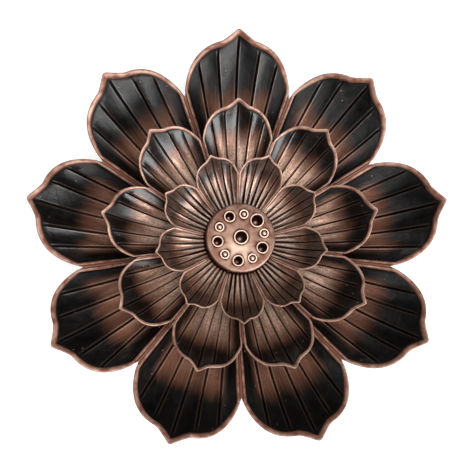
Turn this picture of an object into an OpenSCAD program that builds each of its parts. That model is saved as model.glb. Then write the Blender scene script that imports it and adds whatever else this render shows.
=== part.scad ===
// Lotus holder for palo santo and incense sticks.
// Three cast tiers of petals turn on the spigot of a drilled seed pod, and one screw from below
// clamps them together. A felt disc closes the foot. +Z is up, and the origin is the middle of
// the face that the holder rests on.

/* [Petals] */
// Petals in each tier
petal_count = 9; // [7:1:12]
// How late a petal's centre line curls upwards: 1 is a straight slope
centre_curl = 2.6; // [1.8:0.1:3.2]
// How late the crease between two petals curls upwards
crease_curl = 1.5; // [1.2:0.1:1.8]
// How square a petal's shoulders are
shoulder_squareness = 3.35; // [2.4:0.05:4.5]
// Angle over which the drawn-out point runs into the shoulders, each side of the tip
point_angle = 4.8; // [3:0.1:8]

/* [Outer tier] */
// Distance from the axis to a petal's tip
outer_tip_r = 55.2; // [50:0.1:64]
// Height of the tips above the tier's floor
outer_rise = 15.1; // [12:0.1:18]
// Free length of a petal, from the notch beside it to its tip
outer_lobe = 14.5; // [11:0.1:18]
// How far the notches lie below the tips
outer_drop = 7.6; // [5:0.1:9]
// Length of the drawn-out point
outer_point = 2.8; // [1.5:0.1:4.5]
// Wall of a petal
outer_wall = 1.7; // [1.3:0.1:2.2]
// Width of the raised rim
outer_rim = 1.45; // [1:0.05:2]
// Thickness of the floor above the screw's recess
outer_floor_t = 2.2; // [1.8:0.1:4]

/* [Middle tier] */
// Distance from the axis to a petal's tip
middle_tip_r = 36.3; // [32:0.1:42]
// Height of the tips above the tier's floor
middle_rise = 12.4; // [10.5:0.1:15]
// Free length of a petal, from the notch beside it to its tip
middle_lobe = 9.5; // [7:0.1:12]
// How far the notches lie below the tips
middle_drop = 5.4; // [4:0.1:6.5]
// Length of the drawn-out point
middle_point = 1.9; // [1:0.1:3]
// Wall of a petal
middle_wall = 1.5; // [1.2:0.1:2]
// Width of the raised rim
middle_rim = 0.95; // [0.6:0.05:1.4]
// Thickness of the hub that stands on the outer tier
middle_floor_t = 3.1; // [2.6:0.1:5]
// Turn of the tier from the outer tier's petals, clockwise from above
middle_turn = -0.8; // [-180:0.1:180]

/* [Inner tier] */
// Distance from the axis to a petal's tip
inner_tip_r = 22.6; // [20:0.1:26]
// Height of the tips above the tier's floor
inner_rise = 8.1; // [7:0.1:11]
// Free length of a petal, from the notch beside it to its tip
inner_lobe = 5.9; // [4:0.1:8]
// How far the notches lie below the tips
inner_drop = 3.4; // [2.5:0.1:4.5]
// Length of the drawn-out point
inner_point = 1.2; // [0.6:0.1:2]
// Wall of a petal
inner_wall = 1.3; // [1:0.1:1.6]
// Width of the raised rim
inner_rim = 0.6; // [0.4:0.05:1]
// Thickness of the hub that stands on the middle tier
inner_floor_t = 3.0; // [2.5:0.1:5]
// Turn of the tier from the outer tier's petals, clockwise from above
inner_turn = 19.4; // [-180:0.1:180]

/* [Seed pod] */
// Diameter of the pod
pod_d = 18.3; // [17.6:0.1:21]
// Height of the pod's edge above the inner tier's floor
pod_h = 5.2; // [4.6:0.1:8]
// Rise of the domed top above its edge
pod_dome = 0.6; // [0.2:0.1:1.5]
// Width of the bevel round the top
pod_bevel = 0.9; // [0.4:0.1:1.2]
// Height of the upright band under the bevel
pod_band_h = 0.8; // [0.3:0.1:1.2]
// How far the pod's foot stands in from the edge of the hub under it
pod_seat_inset = 0.3; // [0.1:0.1:0.8]
// Turn of the first stick hole from the outer tier's petals, clockwise from above
pod_turn = 43.9; // [-180:0.1:180]
// Radius of the circle that the stick holes lie on
hole_circle_r = 6.15; // [5.6:0.05:6.4]
// Bore of the middle hole
centre_hole_d = 3.0; // [2:0.1:3.6]
// Bore of the widest hole on the circle
wide_hole_d = 2.9; // [2:0.1:3]
// Bore of the next hole on the circle
medium_hole_d = 2.4; // [1.8:0.1:2.8]
// Bore of the three slim holes on the circle
slim_hole_d = 2.2; // [1.6:0.1:2.6]
// Depth of the centre hole and of the widest hole below the top of their collars
hole_depth = 4.2; // [3:0.1:4.4]
// How much shallower each next hole on the circle is
hole_depth_step = 0.2; // [0.05:0.05:0.3]
// Wall of the collar round each hole
collar_wall = 0.45; // [0.3:0.05:0.6]
// Height of the holes' collars above the dome
collar_h = 0.35; // [0.2:0.05:0.8]
// Outside diameter of the ring round each seed
seed_ring_d = 2.55; // [2:0.05:3]
// Height of the seed rings above the dome
seed_ring_h = 0.25; // [0.1:0.05:0.6]
// Diameter of each seed
seed_d = 1.2; // [0.8:0.05:1.5]

/* [Spindle] */
// Diameter of the spigot that the tiers turn on
spigot_d = 7; // [6:0.1:9]
// Wall of the hubs round the spigot
hub_wall = 4.5; // [3.5:0.1:5.5]
// How far the underside of a hub stands in from the edge of the floor above it
boss_inset = 0.7; // [0.2:0.1:1.5]
// Running clearance of the tiers on the spigot, on the radius
spigot_clearance = 0.075; // [0.02:0.005:0.1]
// How far the spigot stops short of the outer tier's underside, so that the screw can clamp
clamp_gap = 0.3; // [0.1:0.05:0.6]
// Diameter of the screw's shank
screw_d = 4; // [3:0.5:5]
// Length of the screw's shank
screw_len = 10; // [8:0.5:10.5]
// Gap round the shank where the thread would lie, on the radius
thread_gap = 0.05; // [0.02:0.01:0.1]
// Diameter of the screw's pan head
head_d = 8; // [6:0.1:9]
// Height of the screw's pan head
head_h = 3; // [2:0.1:4]
// Width of the slots of the cross recess
cross_w = 1.2; // [0.6:0.1:1.6]
// Length of the slots of the cross recess
cross_l = 4.4; // [2.5:0.1:5]
// Depth of the cross recess
cross_depth = 1.6; // [0.8:0.1:1.8]
// Outside diameter of the spring washer
spring_washer_d = 7.6; // [6.5:0.1:9]
// Thickness of the spring washer
spring_washer_t = 0.9; // [0.6:0.1:1.5]
// Outside diameter of the flat washer
flat_washer_d = 12; // [10.5:0.5:14]
// Thickness of the flat washer
flat_washer_t = 1; // [0.6:0.1:1.6]
// Gap of the washers round the shank, on the radius
washer_gap = 0.15; // [0.05:0.05:0.3]

/* [Foot] */
// Diameter of the foot under the outer tier
foot_d = 30; // [29:0.5:36]
// Wall of the foot round the screw's recess
foot_wall = 4; // [2.5:0.5:5]
// Thickness of the felt disc
pad_t = 1.5; // [1:0.1:3]
// How far the felt disc stands in from the foot's edge
pad_inset = 0.5; // [0.2:0.1:2]
// Room between the screw's head and the felt
head_room = 0.3; // [0.1:0.1:1]

/* [Hidden] */
$fn = 64;

copper = "#8f5f4b";
dark_copper = "#4a3530";
steel = "#b9bcc0";
felt = "#26231f";

half_pitch = 180 / petal_count;
// Shares of the way from the floor to the rim at which a petal is sampled, and its columns
row_shares = [0, 0.2, 0.42, 0.64, 0.84, 1];
column_shares = [0.12, 0.26, 0.42, 0.6, 0.8];
// The raised rim: its height as a share of its width, and the web left between two rims
rim_height_share = 0.45;
web_share = 0.6;
// How quickly the rim rises out of the floor, and how a petal's edge falls towards the notch
rim_start_share = 0.3;
edge_fall_power = 1.4;
point_power = 1.4;

bore_d = spigot_d + 2 * spigot_clearance;
recess_r = foot_d / 2 - foot_wall;
hub_r = spigot_d / 2 + hub_wall;
boss_r = hub_r - boss_inset;
cut = 1;

// The stack, from the felt upwards
head_z = pad_t + head_room;
spring_washer_z = head_z + head_h;
flat_washer_z = spring_washer_z + spring_washer_t;
outer_under_z = flat_washer_z + flat_washer_t;
outer_floor_z = outer_under_z + outer_floor_t;
middle_floor_z = outer_floor_z + middle_floor_t;
inner_floor_z = middle_floor_z + inner_floor_t;

// The pod's outline, from its foot on the inner tier up
pod_r = pod_d / 2;
pod_foot_r = hub_r - pod_seat_inset;
pod_top_r = pod_r - pod_bevel;
pod_belly_h = pod_h - pod_bevel - pod_band_h;
spigot_end_z = outer_under_z + clamp_gap;
thread_end_room = 0.4;
thread_top_z = spring_washer_z + screw_len + thread_end_room;
stick_holes_d = [wide_hole_d, medium_hole_d, slim_hole_d, slim_hole_d, slim_hole_d];
hole_pitch = 360 / len(stick_holes_d);
dome_steps = 6;

// Height of the pod's dome at a distance from its axis
function dome_h(r) = pod_h + pod_dome * (1 - pow(r / pod_top_r, 2));

// One cast tier, standing on z = 0 at its floor: nine petals as one closed skin, with a flat hub.
// A point lies at the share s of the way from the floor's edge to the petal's edge, on a line at
// the angle a from the petal's centre line. Its height is the edge's height there times a power
// of s, which falls from the centre line to the crease, so each petal is hollow like a spoon.
module petal_tier(tip_r, rise, lobe, drop, point, wall, rim, floor_r, base_r, base_h) {
    notch_r = tip_r - lobe;
    round_r = tip_r - point;
    web_a = web_share * rim / 2 / notch_r * 180 / PI;
    crest_a = half_pitch - web_a - rim / 2 / notch_r * 180 / PI;
    inner_a = half_pitch - web_a - rim / notch_r * 180 / PI;
    side = [for (f = column_shares) f * inner_a];
    right = concat([0], side, [inner_a, crest_a]);
    columns = concat([-half_pitch], [for (i = [len(right) - 1:-1:1]) -right[i]], right);
    rows = len(row_shares) + 2;
    total = petal_count * len(columns);

    function edge_r(a) =
        notch_r + (round_r - notch_r) * (1 - pow(abs(a) / half_pitch, shoulder_squareness))
        + point * pow(max(0, 1 - abs(a) / point_angle), point_power);
    function edge_h(a) = rise - drop * pow(abs(a) / half_pitch, edge_fall_power);
    function curl(a) = centre_curl + (crease_curl - centre_curl) * pow(a / half_pitch, 2);
    function radius(a, row) =
        row < rows - 2
        ? floor_r + row_shares[row] * (edge_r(a) - rim - floor_r)
        : edge_r(a) - (rows - 1 - row) * rim / 2;
    function share(a, row) = (radius(a, row) - floor_r) / (edge_r(a) - floor_r);
    function rim_lift(a, row) =
        abs(a) > half_pitch - web_a ? 0
        : row == rows - 1 ? 0.4
        : row == rows - 2 ? 1
        : abs(abs(a) - crest_a) < web_a / 2 ? min(1, share(a, row) / rim_start_share)
        : 0;
    function smooth_h(a, row) = edge_h(a) * pow(share(a, row), curl(a));
    function around(p, a, r, z) =
        let (turn = 90 + p * 2 * half_pitch + a)
        [r * cos(turn), r * sin(turn), z];

    top = [for (p = [0:petal_count - 1], a = columns, row = [0:rows - 1])
        around(p, a, radius(a, row), smooth_h(a, row) + rim_lift(a, row) * rim * rim_height_share)];
    under = [for (p = [0:petal_count - 1], a = columns, row = [0:rows - 1])
        row == 0
        ? around(p, a, base_r, -base_h)
        : around(p, a, radius(a, row), smooth_h(a, row) - wall)];

    function at(column, row, skin) = skin * total * rows + (column % total) * rows + row;
    top_faces = [for (c = [0:total - 1], r = [0:rows - 2], half = [0, 1])
        half == 0
        ? [at(c, r, 0), at(c + 1, r, 0), at(c + 1, r + 1, 0)]
        : [at(c, r, 0), at(c + 1, r + 1, 0), at(c, r + 1, 0)]];
    under_faces = [for (c = [0:total - 1], r = [0:rows - 2], half = [0, 1])
        half == 0
        ? [at(c, r, 1), at(c + 1, r + 1, 1), at(c + 1, r, 1)]
        : [at(c, r, 1), at(c, r + 1, 1), at(c + 1, r + 1, 1)]];
    last = rows - 1;
    edge_faces = [for (c = [0:total - 1], half = [0, 1])
        half == 0
        ? [at(c, last, 0), at(c + 1, last, 0), at(c + 1, last, 1)]
        : [at(c, last, 0), at(c + 1, last, 1), at(c, last, 1)]];
    floor_face = [for (c = [total - 1:-1:0]) at(c, 0, 0)];
    base_face = [for (c = [0:total - 1]) at(c, 0, 1)];
    polyhedron(
        points = concat(top, under),
        faces = concat(top_faces, under_faces, edge_faces, [floor_face, base_face]),
        convexity = 10
    );
}

// The bore that runs on the spigot, through a hub from one height to another
module spigot_bore(low, high) {
    translate([0, 0, low - cut])
        cylinder(d = bore_d, h = high - low + 2 * cut);
}

// Widest tier, with the foot and the recess for the screw under its floor
module outer_petal_tier() {
    color(dark_copper)
        difference() {
            translate([0, 0, outer_floor_z])
                petal_tier(outer_tip_r, outer_rise, outer_lobe, outer_drop, outer_point, outer_wall,
                           outer_rim, foot_d / 2, foot_d / 2, outer_floor_z - pad_t);
            translate([0, 0, pad_t - cut])
                cylinder(r = recess_r, h = outer_under_z - pad_t + cut);
            spigot_bore(outer_under_z, outer_floor_z);
        }
}

module middle_petal_tier() {
    color(dark_copper)
        rotate(-middle_turn)
            difference() {
                translate([0, 0, middle_floor_z])
                    petal_tier(middle_tip_r, middle_rise, middle_lobe, middle_drop, middle_point,
                               middle_wall, middle_rim, hub_r, boss_r, middle_floor_t);
                spigot_bore(outer_floor_z, middle_floor_z);
            }
}

module inner_petal_tier() {
    color(copper)
        rotate(-inner_turn)
            difference() {
                translate([0, 0, inner_floor_z])
                    petal_tier(inner_tip_r, inner_rise, inner_lobe, inner_drop, inner_point,
                               inner_wall, inner_rim, hub_r, boss_r, inner_floor_t);
                spigot_bore(middle_floor_z, inner_floor_z);
            }
}

// A child placed on the stick holes' circle, at a clockwise angle from the first hole
module on_circle(turn) {
    rotate(-pod_turn - turn)
        translate([0, hole_circle_r, 0])
            children();
}

// The pod's turned body, with its spigot
module pod_body() {
    rotate_extrude()
        polygon(concat(
            [[0, 0], [pod_foot_r, 0], [pod_r, pod_belly_h], [pod_r, pod_h - pod_bevel]],
            [for (i = [0:dome_steps]) let (r = pod_top_r * (1 - i / dome_steps)) [r, dome_h(r)]]
        ));
    translate([0, 0, spigot_end_z - inner_floor_z])
        cylinder(d = spigot_d, h = inner_floor_z - spigot_end_z + cut);
}

// Collar round a hole, or ring round a seed, standing out of the dome at a distance from the axis
module collar(d, r, h) {
    translate([0, 0, pod_belly_h])
        cylinder(d = d, h = dome_h(r) + h - pod_belly_h);
}

// Hole for a stick, down from the top of its collar
module stick_hole(d, r, depth) {
    translate([0, 0, dome_h(r) + collar_h - depth])
        cylinder(d = d, h = depth + cut);
}

module seed_pod() {
    color(copper)
        translate([0, 0, inner_floor_z])
            difference() {
                union() {
                    pod_body();
                    collar(centre_hole_d + 2 * collar_wall, 0, collar_h);
                    for (i = [0:len(stick_holes_d) - 1]) {
                        on_circle(i * hole_pitch)
                            collar(stick_holes_d[i] + 2 * collar_wall, hole_circle_r, collar_h);
                        on_circle((i + 0.5) * hole_pitch)
                            seed();
                    }
                }
                stick_hole(centre_hole_d, 0, hole_depth);
                for (i = [0:len(stick_holes_d) - 1])
                    on_circle(i * hole_pitch)
                        stick_hole(stick_holes_d[i], hole_circle_r, hole_depth - i * hole_depth_step);
                translate([0, 0, spigot_end_z - inner_floor_z - cut])
                    cylinder(d = screw_d, h = thread_top_z - spigot_end_z + cut);
            }
}

// Seed in its ring: a bead in a shallow cup
module seed() {
    cup_floor_h = dome_h(hole_circle_r);
    difference() {
        collar(seed_ring_d, hole_circle_r, seed_ring_h);
        translate([0, 0, cup_floor_h])
            cylinder(d = seed_ring_d - collar_wall, h = seed_ring_h + cut);
    }
    translate([0, 0, cup_floor_h])
        sphere(d = seed_d);
}

// Pan-head screw, head down, with a cross recess
module centre_screw() {
    color(steel)
        difference() {
            union() {
                translate([0, 0, head_z])
                    rotate_extrude()
                        polygon([[0, 0], [0.32 * head_d, 0], [0.45 * head_d, 0.25 * head_h],
                                 [head_d / 2, 0.55 * head_h], [head_d / 2, head_h], [0, head_h]]);
                translate([0, 0, spring_washer_z - cut])
                    cylinder(d = screw_d - 2 * thread_gap, h = screw_len + cut);
            }
            for (turn = [0, 90])
                rotate(turn)
                    translate([-cross_l / 2, -cross_w / 2, head_z - cut])
                        cube([cross_l, cross_w, cross_depth + cut]);
        }
}

// Ring of a washer round the screw
module washer_ring(d, t) {
    difference() {
        cylinder(d = d, h = t);
        translate([0, 0, -cut])
            cylinder(d = screw_d + 2 * washer_gap, h = t + 2 * cut);
    }
}

// Split washer, pressed flat
module spring_washer() {
    split_w = 0.8 * spring_washer_t;
    split_slant = 25;
    color(steel)
        translate([0, 0, spring_washer_z])
            difference() {
                washer_ring(spring_washer_d, spring_washer_t);
                translate([0, 0, spring_washer_t / 2])
                    rotate([0, split_slant, 0])
                        translate([-split_w / 2, 0, -2 * spring_washer_t])
                            cube([split_w, spring_washer_d, 4 * spring_washer_t]);
            }
}

module flat_washer() {
    color(steel)
        translate([0, 0, flat_washer_z])
            washer_ring(flat_washer_d, flat_washer_t);
}

// Felt disc under the foot
module base_pad() {
    color(felt)
        cylinder(d = foot_d - 2 * pad_inset, h = pad_t);
}

outer_petal_tier();
middle_petal_tier();
inner_petal_tier();
seed_pod();
centre_screw();
spring_washer();
flat_washer();
base_pad();
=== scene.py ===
"""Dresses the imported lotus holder: three tiers of cast petals round a drilled seed pod."""

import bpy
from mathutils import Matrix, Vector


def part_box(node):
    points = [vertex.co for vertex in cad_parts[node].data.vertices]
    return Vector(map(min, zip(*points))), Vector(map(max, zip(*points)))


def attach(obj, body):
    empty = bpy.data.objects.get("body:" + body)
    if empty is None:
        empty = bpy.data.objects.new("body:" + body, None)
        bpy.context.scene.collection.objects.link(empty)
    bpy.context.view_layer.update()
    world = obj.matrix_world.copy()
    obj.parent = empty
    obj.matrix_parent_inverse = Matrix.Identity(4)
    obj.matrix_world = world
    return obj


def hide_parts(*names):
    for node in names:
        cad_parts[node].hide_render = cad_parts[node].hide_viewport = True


bl_info = {
    "name": "Lotus holder",
    "version": (1, 0, 0),
    "blender": (4, 5, 0),
    "location": "3D View > Sidebar > Lotus",
    "description": "Petals, rims, seed pod and felt of a lotus holder, with their finishes and a stage",
    "category": "Object",
}

from functools import partial
from types import SimpleNamespace

import bpy
import numpy as np
from bpy.props import FloatProperty, FloatVectorProperty, PointerProperty
from mathutils import Matrix, Vector

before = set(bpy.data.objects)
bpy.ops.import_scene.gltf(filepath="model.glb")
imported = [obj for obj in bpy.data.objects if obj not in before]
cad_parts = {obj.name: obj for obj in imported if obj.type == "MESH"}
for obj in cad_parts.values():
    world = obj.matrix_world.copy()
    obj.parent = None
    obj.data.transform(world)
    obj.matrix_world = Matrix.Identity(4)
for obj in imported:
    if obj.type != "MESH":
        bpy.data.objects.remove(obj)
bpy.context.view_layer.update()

MM = 0.001
PETALS = 9
HALF_PITCH = 180 / PETALS

# How a petal's centre line and its crease curl upwards, and how its outline is drawn
CENTRE_CURL = 2.6
CREASE_CURL = 1.5
SHOULDER_SQUARENESS = 3.35
POINT_ANGLE = 4.8
POINT_POWER = 1.4
EDGE_FALL_POWER = 1.4
TIP_SOFTNESS = 0.35

# Five sunk veins run along each petal, at these angles from its centre line
VEIN_PITCH = 6.2
VEIN_ANGLES = VEIN_PITCH * np.arange(-2, 3)
VEINS = len(VEIN_ANGLES)
# Columns of the grid on one side of a vein, in vein widths from its middle
HALF_COLUMNS = np.array([0.1, 0.22, 0.34, 0.45, 0.56, 0.68, 0.86, 1.15])
VEIN_COLUMNS = np.concatenate([-HALF_COLUMNS[::-1], [0], HALF_COLUMNS])
# Widest angle that a vein's columns may take up each side of it
VEIN_REACH = 2.5
# A vein's section: half widths of its floor and mouth, and its lips' place and width, in vein widths
FLOOR_HALF = 0.06
MOUTH_HALF = 0.54
LIP_PLACE = 0.74
LIP_WIDTH = 0.22
# Heights of the lips and of the crown between two veins, in vein depths
LIP_HEIGHT = 0.5
CROWN_HEIGHT = 0.15
# The hand that cut the veins: lean and bend in degrees, the bend's pace in radians over the tip radius, and
# the share of the depth that it reaches
LEAN_SPREAD = 0.17
LEAN_MOST = 0.3
BEND = 0.1
BEND_PACE = 8
CUT = (0.75, 1)
# How brightly the strips between the veins are buffed
STRIP_TONE = (0.7, 1.4)
# Softness of the buffed patch's outer border, as a share of the tip radius, and of its sides, in degrees, and
# how far the sides part further in, in degrees
BORDER_SOFTNESS = 0.09
SIDE_SOFTNESS = 4
SIDE_PARTING = 9
# Seeds of the random draws for the veins and the rims
VEIN_SEED = 5
RIM_SEED = 3

# Rows of a petal's face and underside, and of the flank below it, as shares of the way out
FACE_ROWS = np.concatenate([np.linspace(0, 0.24, 9), np.linspace(0.26, 0.93, 46), np.linspace(0.945, 1, 9)])
UNDER_ROWS = np.linspace(1, 0.2, 15)
FLANK_ROWS = np.array([0.92, 0.84, 0.74, 0.62, 0.48, 0.34, 0.2, 0.08, 0])
# Far enough apart in a pattern that no two petals are alike, in millimetres
PETAL_STEP = 41.0

# The rim's height above the petal, as a share of its width, and how round its section is
RIM_LIFT = 0.36
RIM_ROUNDNESS = 0.72
# The rim's lines are worked out this many times finer than they are drawn
FINER = 4

# Sizes that the CAD pieces share, in millimetres
FOOT_R = 15.0
HUB_R = 8.0
BOSS_R = 7.3
BORE_R = 3.575
RECESS_R = 11.0
RECESS_ROOF = 2.2
INNER_FLOOR = 3.0
POD_FOOT_R = 7.7
SPIGOT_R = 3.5
SCREW_BORE_R = 2.0
SCREW_BORE_RISE = 0.2

# Bores of the holes on the pod's circle, in millimetres
STICK_BORES = (2.9, 2.4, 2.2, 2.2, 2.2)
# Radius inside the cells round the pod's top, and the steps along each of a cell's four sides
CELL_R = 3.2
CELL_SIDE = 12
# Rings on the dome, as shares of the way from a hole's collar to the border of its cell
DOME_SHARES = (0.04, 0.16, 0.4, 0.7, 1)
# Patina and bare metal on the rings of a hole, of a seed, of the dome round them and of the pod's side. The
# dark down the holes is patina and painted shade, the dark side is painted shade, the bright spot on each
# hole's floor is a painted glint, and the bevel's faint crest is a painted highlight
HOLE_SHADE = [0, 0.95, 1, 1, 1, 1, 0.6, 0.2, 0, 0, 0, 0.3, 1]
HOLE_CREST_AND_GLINT = [1] + [0] * 6 + [0.4, 0.7, 0.7, 0.7, 0.4, 0]
SEED_SHADE = [0] * 6 + [0.2, 0.6, 1, 1, 1, 0.9, 0.3, 0, 0, 0.3, 1]
SEED_CREST = [0.9] * 5 + [0.6, 0.3] + [0] * 5 + [0.6, 1, 1, 0.5, 0]
DOME_SHADE = [1, 0.6, 0.12, 0, 0]
DOME_CREST = [0] * 5
SIDE_SHADE = [0, 0, 0, 0.15, 0.8] + [1] * 10
SIDE_PAINTED_HIGHLIGHT = [0, 0.05, 0.25, 0.1] + [0] * 11
# Middle and radius of a painted highlight, a paler patch on the pod's top beside the middle hole, in
# millimetres
PAINTED_HIGHLIGHT_AT = (-0.6, -2.2)
PAINTED_HIGHLIGHT_R = 2.4

# Round of the felt's edge in millimetres, and how far the edge wavers, as a share of its radius
FELT_EDGE = 0.35
FELT_WAVER = 0.002

# The image's width in pixels, and the pixel at which it shows the point that the camera looks at
IMAGE_PX = 471
TARGET_PX = (242.55, 235.32)
SENSOR_MM = 36
# Lights: bearing and elevation in degrees, then distance, width and height in metres
KEY_PLACE = (310, 27, 0.8, 0.86, 0.36)
TOP_PLACE = (235, 82, 0.8, 0.75, 0.75)
SKY_PLACE = (290, 86, 1.0, 1.8, 1.8)
# Height of the point that they face, in metres
LIT_Z = 0.015
# Half the floor's width in metres, how brightly it shows, and where the backdrop ends, in degrees
FLOOR_SIDE = 20.0
FLOOR_GLOW = 0.72
BACKDROP_FULL = 2
BACKDROP_END = 6


def srgb(code):
    """Linear colour of an sRGB hex value, with the alpha that a colour socket takes."""
    value = np.array([int(code[i:i + 2], 16) for i in (1, 3, 5)]) / 255
    linear = np.where(value <= 0.04045, value / 12.92, ((value + 0.055) / 1.055) ** 2.4)
    return (*linear.tolist(), 1.0)


def ramp(low, high, x):
    """Smooth step from 0 at low to 1 at high."""
    t = np.clip((x - low) / (high - low), 0, 1)
    return t * t * (3 - 2 * t)


def tip_of(node):
    """Radius of a tier's tips, and its clockwise turn from the +Y axis within one petal, in degrees."""
    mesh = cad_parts[node].data
    points = np.empty(len(mesh.vertices) * 3)
    mesh.vertices.foreach_get("co", points)
    x, y, _ = points.reshape(-1, 3).T / MM
    radius = np.hypot(x, y)
    far = np.argmax(radius)
    turn = np.degrees(np.arctan2(x[far], y[far]))
    return radius[far], (turn + HALF_PITCH) % (2 * HALF_PITCH) - HALF_PITCH


def low_z(node):
    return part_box(node)[0].z / MM


OUTER_FLOOR_Z = low_z("middle_petal_tier")
MIDDLE_FLOOR_Z = low_z("inner_petal_tier")
INNER_FLOOR_Z = MIDDLE_FLOOR_Z + INNER_FLOOR
RECESS_Z = OUTER_FLOOR_Z - RECESS_ROOF


# Settings

def number(label, text, value, subtype="NONE"):
    return FloatProperty(name=label, description=text, default=value, subtype=subtype)


def length(label, text, value):
    """A length property, given in millimetres and kept in metres."""
    return number(label, text, value * MM, "DISTANCE")


def angle(label, text, value):
    """An angle property, given in degrees and kept in radians."""
    return number(label, text, np.radians(value), "ANGLE")


def colour(label, text, code):
    return FloatVectorProperty(name=label, description=text, default=srgb(code), size=4, subtype="COLOR",
                               min=0, max=1)


def plain_sizes(group):
    """A property group's values, with lengths in millimetres and angles in degrees."""
    sizes = SimpleNamespace()
    for key in group.__annotations__:
        scale = {"DISTANCE": MM, "ANGLE": np.radians(1)}.get(group.bl_rna.properties[key].subtype, 1)
        setattr(sizes, key, getattr(group, key) / scale)
    return sizes


TIER_LENGTHS = {
    "tip_r": ("Tip radius", "Distance from the axis to a petal's tip"),
    "floor_z": ("Floor height", "Height of the tier's floor"),
    "base_z": ("Underside", "Height of the hub's underside"),
    "rise": ("Rise", "Height of the tips above the floor"),
    "lobe": ("Lobe", "Length of a petal from its notch to its tip"),
    "drop": ("Drop", "How far the notches lie below the tips"),
    "point": ("Point", "Length of the drawn-out point"),
    "wall": ("Wall", "Thickness of a petal"),
    "rim": ("Rim", "Width of the raised rim"),
    "floor_r": ("Floor radius", "Radius at which the petals leave the floor"),
    "base_r": ("Base radius", "Radius of the hub's underside"),
    "vein_w": ("Vein width", "Width of a sunk vein"),
    "vein_d": ("Vein depth", "Depth of a sunk vein"),
}
TIER_ANGLES = {
    "turn": ("Turn", "Clockwise turn of the petals"),
    "spread": ("Spread", "Half the angle that is buffed"),
}
TIER_SHARES = {
    "crease": ("Crease", "Rim's width along the crease, as a share of its width"),
    "web": ("Web", "Gap between two rims, as a share of a rim's width"),
    "border": ("Border", "Where the black begins, as a share of the tip radius"),
    "buffing": ("Buffing", "How far the black is worn through"),
    "polish": ("Polish", "How bright the buffed copper is"),
    "warmth": ("Warmth", "How much brown shows through the black"),
    "rub": ("Rub", "How pale the rims are rubbed"),
    "gloss": ("Gloss", "How smooth the lacquer on the black is"),
}


def tier_settings(label, **sizes):
    """Property group with one tier's sizes. Its reach, turn and underside come from the CAD node."""
    node = f"{label}_petal_tier"
    sizes["tip_r"], sizes["turn"] = tip_of(node)
    sizes["base_z"] = low_z(node)
    settings = {}
    for kind, words in ((length, TIER_LENGTHS), (angle, TIER_ANGLES), (number, TIER_SHARES)):
        settings |= {key: kind(*text, sizes[key]) for key, text in words.items()}
    return type(f"LOTUS_PG_{label}", (bpy.types.PropertyGroup,), {"__annotations__": settings})


OuterTier = tier_settings(
    "outer", floor_z=OUTER_FLOOR_Z, rise=15.1, lobe=14.5, drop=7.6, point=2.8, wall=1.7, rim=1.45,
    floor_r=FOOT_R, base_r=FOOT_R, vein_w=0.62, vein_d=0.42, crease=0.62, web=0.6,
    border=0.725, spread=13.2, buffing=3.0, polish=0.3, warmth=0.0, rub=0.05, gloss=0.0)
MiddleTier = tier_settings(
    "middle", floor_z=MIDDLE_FLOOR_Z, rise=12.4, lobe=9.5, drop=5.4, point=1.9, wall=1.5, rim=0.95,
    floor_r=HUB_R, base_r=BOSS_R, vein_w=0.48, vein_d=0.34, crease=0.62, web=0.6,
    border=0.785, spread=14, buffing=3.0, polish=1.0, warmth=0.03, rub=0.22, gloss=0.85)
InnerTier = tier_settings(
    "inner", floor_z=INNER_FLOOR_Z, rise=8.1, lobe=5.9, drop=3.4, point=1.2, wall=1.3, rim=0.6,
    floor_r=HUB_R, base_r=BOSS_R, vein_w=0.44, vein_d=0.3, crease=1.0, web=0.3,
    border=0.76, spread=18, buffing=0.25, polish=0.82, warmth=0.5, rub=0.4, gloss=1.1)


class SeedPod(bpy.types.PropertyGroup):
    """Sizes of the drilled seed pod."""

    radius: length("Radius", "Radius of the pod", 9.15)
    height: length("Height", "Height of the pod's edge above its seat", 5.2)
    dome: length("Dome", "Rise of the top above its edge", 0.6)
    bevel: length("Bevel", "Width of the bevel round the top", 0.9)
    belly: length("Belly", "Height at which the flared side meets the upright band", 3.5)
    circle: length("Hole circle", "Radius of the circle of holes and seeds", 6.15)
    centre_bore: length("Centre bore", "Diameter of the middle hole", 3.0)
    depth: length("Depth", "Depth of the deepest holes", 4.2)
    depth_step: length("Depth step", "How much shallower each next hole on the circle is", 0.2)
    collar: length("Collar", "Wall of the collar round a hole or a seed", 0.45)
    collar_h: length("Collar height", "Height of a hole's collar above the dome", 0.35)
    ring: length("Seed ring", "Outside radius of the collar round a seed", 1.275)
    ring_h: length("Seed ring height", "Height of a seed's collar above the dome", 0.25)
    seed: length("Seed", "Radius of a seed", 0.6)
    turn: angle("Turn", "Clockwise turn of the widest hole", 43.9)


class Finish(bpy.types.PropertyGroup):
    """Colours of the finishes."""

    black: colour("Black", "Oxide black of the petals' outer halves", "#040303")
    umber: colour("Umber", "Brown that shows through thin black", "#553f34")
    brown: colour("Brown", "Copper browned under the lacquer", "#85533d")
    buffed: colour("Buffed", "Copper where the black is buffed away", "#e5c0aa")
    rim: colour("Rim", "Relieved copper of the rims", "#805140")
    web: colour("Web", "Brown copper between two rims", "#7d4f3e")
    rim_light: colour("Rim crest", "Copper on the crests of the rims", "#c8a390")
    pod: colour("Pod", "Satin copper of the seed pod", "#734c3e")
    # Also the colour of the painted highlight beside the pod's middle hole
    pod_clouds_and_highlight: colour("Pod clouds", "Paler copper where the pod is wiped clean", "#cbac98")
    # Also a painted glint on each hole's floor and a faint painted highlight on the pod's bevel
    bright: colour("Bright", "Copper rubbed bare on collars and seeds", "#efcfbb")
    # Also the painted shade on the floor where the petals rise, and with the patina along the rims' foot
    shade: colour("Hollow", "Patina left in grooves and corners", "#2a140b")
    # Also painted shade down the holes and on the pod's side
    pod_shade: colour("Pod hollow", "Brown patina left in the pod's holes and rings", "#45200f")
    felt: colour("Felt", "Pressed felt under the foot", "#24211e")
    steel: colour("Steel", "Zinc plate of the screw and washers", "#b9bcc0")


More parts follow.
